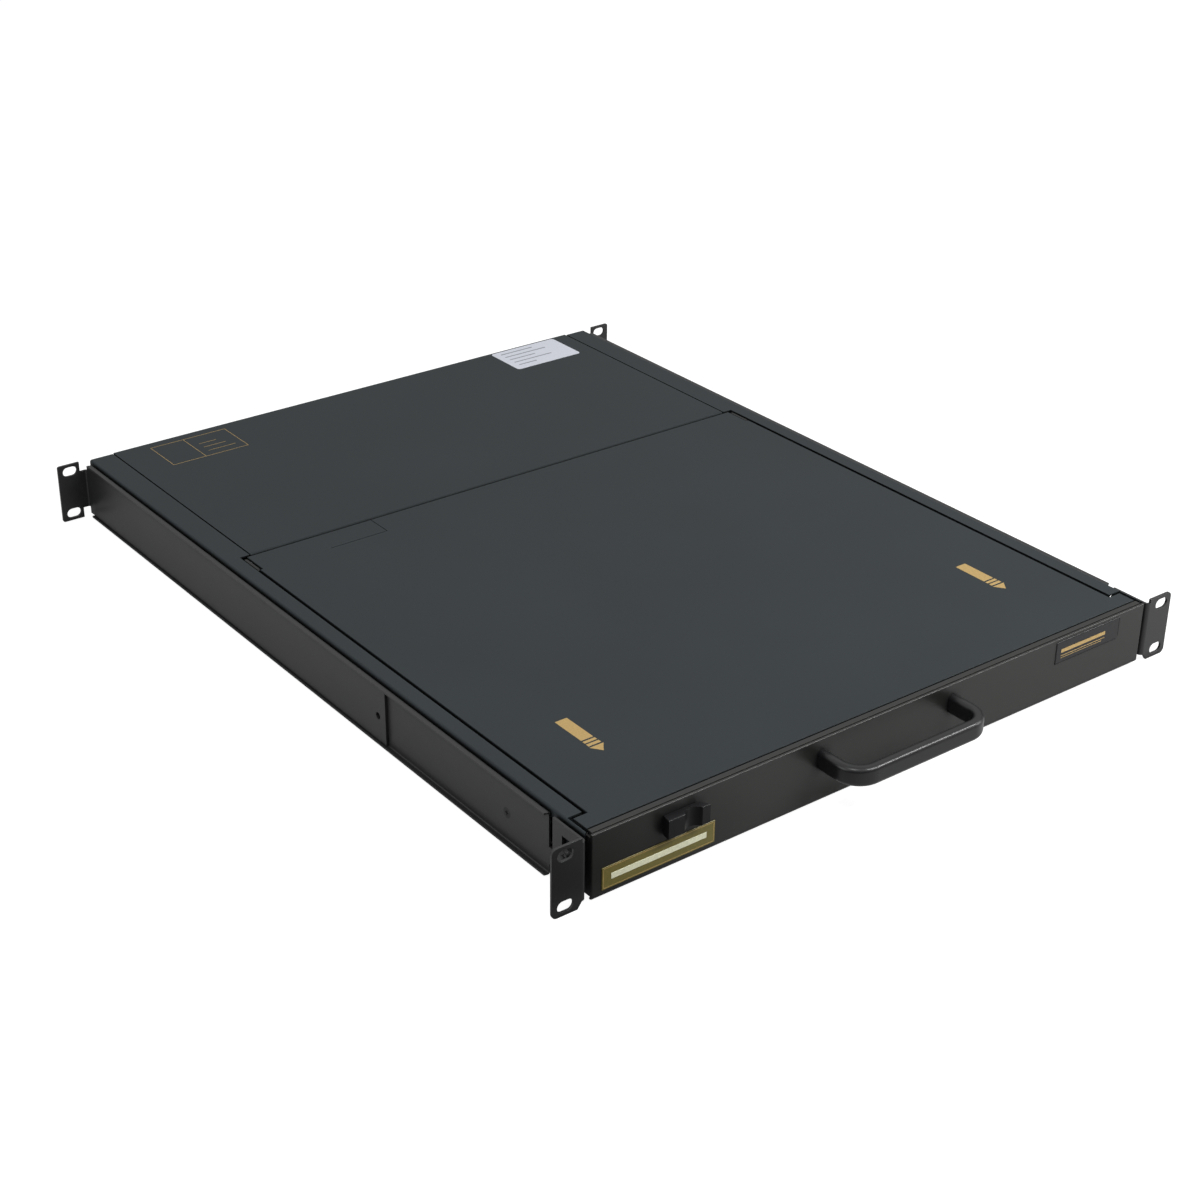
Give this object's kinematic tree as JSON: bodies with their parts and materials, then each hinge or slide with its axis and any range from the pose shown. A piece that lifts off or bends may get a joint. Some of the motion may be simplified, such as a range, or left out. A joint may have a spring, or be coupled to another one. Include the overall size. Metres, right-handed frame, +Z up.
{
  "type": "rackmount lcd console drawer",
  "caption": "Single-unit rack console drawer: a telescoping steel tray with a flip-up flat screen, keyboard and touchpad, sliding on side rails with rack ears.",
  "frame": {"origin": "centre of the four rack slots of the front ears, on the ears' front faces", "axes": "+X to the right seen from the front, +Y into the rack (to the rear), +Z up"},
  "size_m": [0.4826, 0.6218, 0.0436],
  "materials": {
    "chassis_coat": "satin fine-texture powder coat, dark blue-grey",
    "panel_coat": "matte fine-texture powder coat, near black",
    "rail_coat": "satin powder coat, mid grey",
    "slide_zinc": "bright zinc plate",
    "screw_black": "black oxide",
    "screw_zinc": "zinc plate",
    "handle_black": "glossy black",
    "knob_black": "satin black moulding",
    "bezel_plastic": "fine textured black",
    "module_steel": "plain sheet",
    "screen_glass": "dark, switched off, semi-gloss",
    "key_plastic": "satin black key tops",
    "pad_plastic": "fine matte grey",
    "bumper_rubber": "soft black",
    "board_green": "solder-masked laminate",
    "socket_black": "black moulding",
    "socket_shell": "nickel plate",
    "cage_plastic": "natural moulding"
  },
  "bodies": {
    "rack_rails": {"rail_left": "rail_coat", "rail_right": "rail_coat", "front_ear_left": "rail_coat", "front_ear_right": "rail_coat", "slide_outer_left": "slide_zinc", "slide_outer_right": "slide_zinc", "rail_screws": "screw_black"},
    "rear_bracket_l": {"rear_bracket_left": "rail_coat"},
    "rear_bracket_r": {"rear_bracket_right": "rail_coat"},
    "middle_slides": {"slide_middle_left": "slide_zinc", "slide_middle_right": "slide_zinc", "ball_cages_left": "cage_plastic", "ball_cages_right": "cage_plastic"},
    "drawer": {"side_frame_left": "chassis_coat", "side_frame_right": "chassis_coat", "slide_inner_left": "slide_zinc", "slide_inner_right": "slide_zinc", "bottom_pan": "chassis_coat", "front_panel": "panel_coat", "handle": "handle_black", "handle_screws": "screw_black", "latch_guide": "screw_zinc", "hinge_plate_left": "screw_black", "hinge_plate_right": "screw_black", "hinge_pins": "screw_zinc", "keyboard_base": "bezel_plastic", "keyboard_deck": "panel_coat", "touchpad": "pad_plastic", "lid_bumpers": "bumper_rubber", "partition_wall": "chassis_coat", "rear_cover": "chassis_coat", "cover_screws": "screw_black", "rear_panel": "chassis_coat", "power_inlet": "socket_black", "video_socket": "socket_shell", "usb_sockets": "socket_shell", "power_supply": "board_green", "main_board": "board_green"},
    "latch": {"latch_knob": "knob_black", "latch_bolt": "screw_zinc"},
    "screen_lid": {"lid_cover": "chassis_coat", "hinge_cable_cover": "chassis_coat", "lcd_bezel": "bezel_plastic", "lcd_module": "module_steel", "lcd_screen": "screen_glass", "hinge_block_left": "screw_zinc", "hinge_block_right": "screw_zinc"},
    "menu_button": {"menu_button": "knob_black"},
    "down_button": {"down_button": "knob_black"},
    "up_button": {"up_button": "knob_black"},
    "keys_1": {"key_row_1": "key_plastic"},
    "keys_2": {"key_row_2": "key_plastic"},
    "keys_3": {"key_row_3": "key_plastic"},
    "keys_4": {"key_row_4": "key_plastic"},
    "keys_5": {"key_row_5": "key_plastic"},
    "keys_6": {"key_row_6": "key_plastic"},
    "space_key": {"space_bar": "key_plastic"},
    "left_click": {"touch_button_left": "pad_plastic"},
    "right_click": {"touch_button_right": "pad_plastic"},
    "rocker": {"power_switch": "socket_black"}
  },
  "joints": [
    {"name": "drawer_slide", "type": "slide", "parent": "rack_rails", "child": "drawer", "axis": [0, -1, 0], "range_m": [0, 0.4]},
    {"name": "middle_slide", "type": "slide", "parent": "rack_rails", "child": "middle_slides", "axis": [0, -1, 0], "range_m": [0, 0.2]},
    {"name": "left_bracket_slide", "type": "slide", "parent": "rack_rails", "child": "rear_bracket_l", "axis": [0, 1, 0], "range_m": [0, 0.15]},
    {"name": "right_bracket_slide", "type": "slide", "parent": "rack_rails", "child": "rear_bracket_r", "axis": [0, 1, 0], "range_m": [0, 0.15]},
    {"name": "latch_slide", "type": "slide", "parent": "drawer", "child": "latch", "axis": [-1, 0, 0], "range_m": [0, 0.007]},
    {"name": "lid_hinge", "type": "hinge", "parent": "drawer", "child": "screen_lid", "pos_m": [0, 0.38, 0.0175], "axis": [-1, 0, 0], "range_deg": [0, 120]},
    {"name": "menu_button_press", "type": "slide", "parent": "screen_lid", "child": "menu_button", "axis": [0, 0, 1], "range_m": [0, 0.0006], "stiffness_N_per_m": 500},
    {"name": "down_button_press", "type": "slide", "parent": "screen_lid", "child": "down_button", "axis": [0, 0, 1], "range_m": [0, 0.0006], "stiffness_N_per_m": 500},
    {"name": "up_button_press", "type": "slide", "parent": "screen_lid", "child": "up_button", "axis": [0, 0, 1], "range_m": [0, 0.0006], "stiffness_N_per_m": 500},
    {"name": "keys_1_press", "type": "slide", "parent": "drawer", "child": "keys_1", "axis": [0, 0, -1], "range_m": [0, 0.0022], "stiffness_N_per_m": 900, "springref_m": -0.0006},
    {"name": "keys_2_press", "type": "slide", "parent": "drawer", "child": "keys_2", "axis": [0, 0, -1], "range_m": [0, 0.0022], "stiffness_N_per_m": 900, "springref_m": -0.0006},
    {"name": "keys_3_press", "type": "slide", "parent": "drawer", "child": "keys_3", "axis": [0, 0, -1], "range_m": [0, 0.0022], "stiffness_N_per_m": 900, "springref_m": -0.0006},
    {"name": "keys_4_press", "type": "slide", "parent": "drawer", "child": "keys_4", "axis": [0, 0, -1], "range_m": [0, 0.0022], "stiffness_N_per_m": 900, "springref_m": -0.0006},
    {"name": "keys_5_press", "type": "slide", "parent": "drawer", "child": "keys_5", "axis": [0, 0, -1], "range_m": [0, 0.0022], "stiffness_N_per_m": 900, "springref_m": -0.0006},
    {"name": "keys_6_press", "type": "slide", "parent": "drawer", "child": "keys_6", "axis": [0, 0, -1], "range_m": [0, 0.0022], "stiffness_N_per_m": 900, "springref_m": -0.0006},
    {"name": "space_press", "type": "slide", "parent": "drawer", "child": "space_key", "axis": [0, 0, -1], "range_m": [0, 0.0022], "stiffness_N_per_m": 300, "springref_m": -0.0006},
    {"name": "left_click_press", "type": "slide", "parent": "drawer", "child": "left_click", "axis": [0, 0, -1], "range_m": [0, 0.0008], "stiffness_N_per_m": 500, "springref_m": -0.0002},
    {"name": "right_click_press", "type": "slide", "parent": "drawer", "child": "right_click", "axis": [0, 0, -1], "range_m": [0, 0.0008], "stiffness_N_per_m": 500, "springref_m": -0.0002},
    {"name": "switch_rock", "type": "hinge", "parent": "drawer", "child": "rocker", "pos_m": [-0.122, 0.5808, 0], "axis": [1, 0, 0], "range_deg": [-9, 0]}
  ],
  "couplings": [
    {"joint": "middle_slide", "follows": "drawer_slide", "ratio": 0.5}
  ]
}
